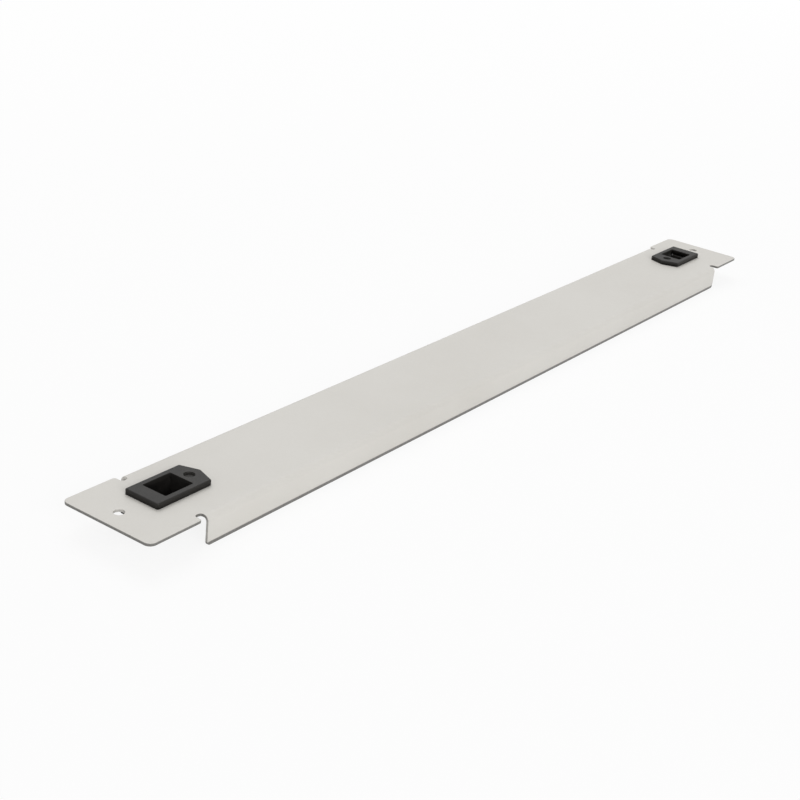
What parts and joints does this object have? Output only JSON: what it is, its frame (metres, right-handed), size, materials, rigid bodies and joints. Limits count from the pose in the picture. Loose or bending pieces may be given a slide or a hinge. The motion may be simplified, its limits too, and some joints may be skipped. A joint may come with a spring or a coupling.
{
  "type": "rack blanking panel",
  "caption": "Folded sheet steel rack blanking panel with black snap-in clips at its ends that hook behind the rack rails, closing an empty bay without tools.",
  "frame": {"origin": "under the middle of the panel, in the plane of the free flange edges that it stands on", "axes": "+X along the panel from the left ear to the right ear, +Y across it towards the edge that the clips are nearer to, +Z out of the front face"},
  "size_m": [0.4826, 0.044, 0.0144],
  "materials": {
    "grey_powder_coat": "light grey powder coat, satin, fine texture",
    "black_plastic": "matt black moulded plastic, fine grain"
  },
  "bodies": {
    "root": {"panel": "grey_powder_coat", "left_clip": "black_plastic", "right_clip": "black_plastic"}
  },
  "joints": []
}
